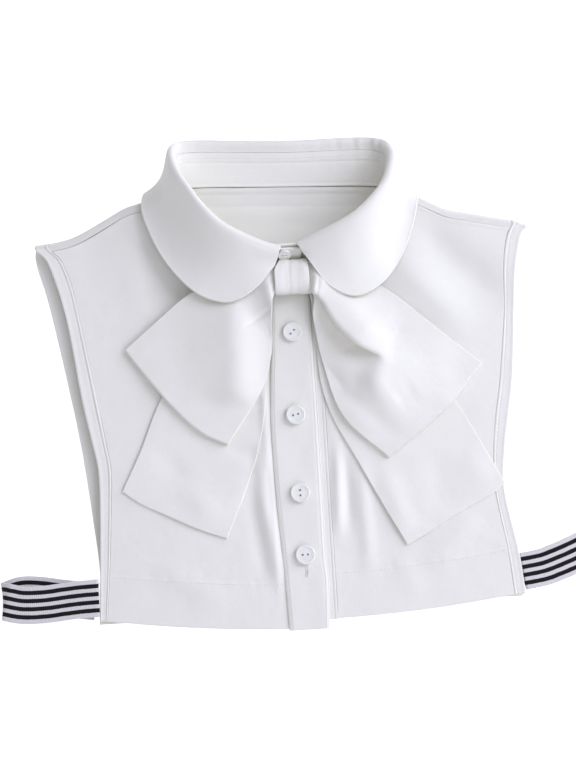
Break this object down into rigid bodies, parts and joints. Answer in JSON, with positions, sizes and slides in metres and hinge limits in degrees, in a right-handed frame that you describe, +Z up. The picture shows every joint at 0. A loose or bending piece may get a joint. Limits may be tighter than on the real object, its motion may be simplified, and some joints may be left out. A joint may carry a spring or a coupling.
{
  "type": "detachable collar",
  "caption": "Half-shirt collar lying flat: rounded turned-down collar on a stand, small buttoned bib, soft bow at the throat and striped elastic side loops.",
  "frame": {"origin": "middle of the whole outline, on the surface that the collar lies on", "axes": "+X to the right as seen in the picture, +Y towards the nape, +Z up from the surface"},
  "size_m": [0.3632, 0.3014, 0.0318],
  "materials": {
    "bib_cloth": "matte",
    "collar_cloth": "matte",
    "bow_cloth": "matte",
    "striped_elastic": "matte woven",
    "button": "satin"
  },
  "bodies": {
    "root": {"back_panel": "bib_cloth", "front_panel_left": "bib_cloth", "front_panel_right": "bib_cloth", "armhole_binding_left": "bib_cloth", "armhole_binding_right": "bib_cloth", "placket": "bib_cloth", "under_placket": "bib_cloth", "collar_stand": "collar_cloth", "collar_leaf": "collar_cloth", "bow_tail_left": "bow_cloth", "bow_tail_right": "bow_cloth", "bow_loop_left": "bow_cloth", "bow_loop_right": "bow_cloth", "bow_knot": "bow_cloth", "strap_left": "striped_elastic", "strap_right": "striped_elastic", "neck_button": "button", "button_1": "button", "button_2": "button", "button_3": "button", "button_4": "button"}
  },
  "joints": []
}
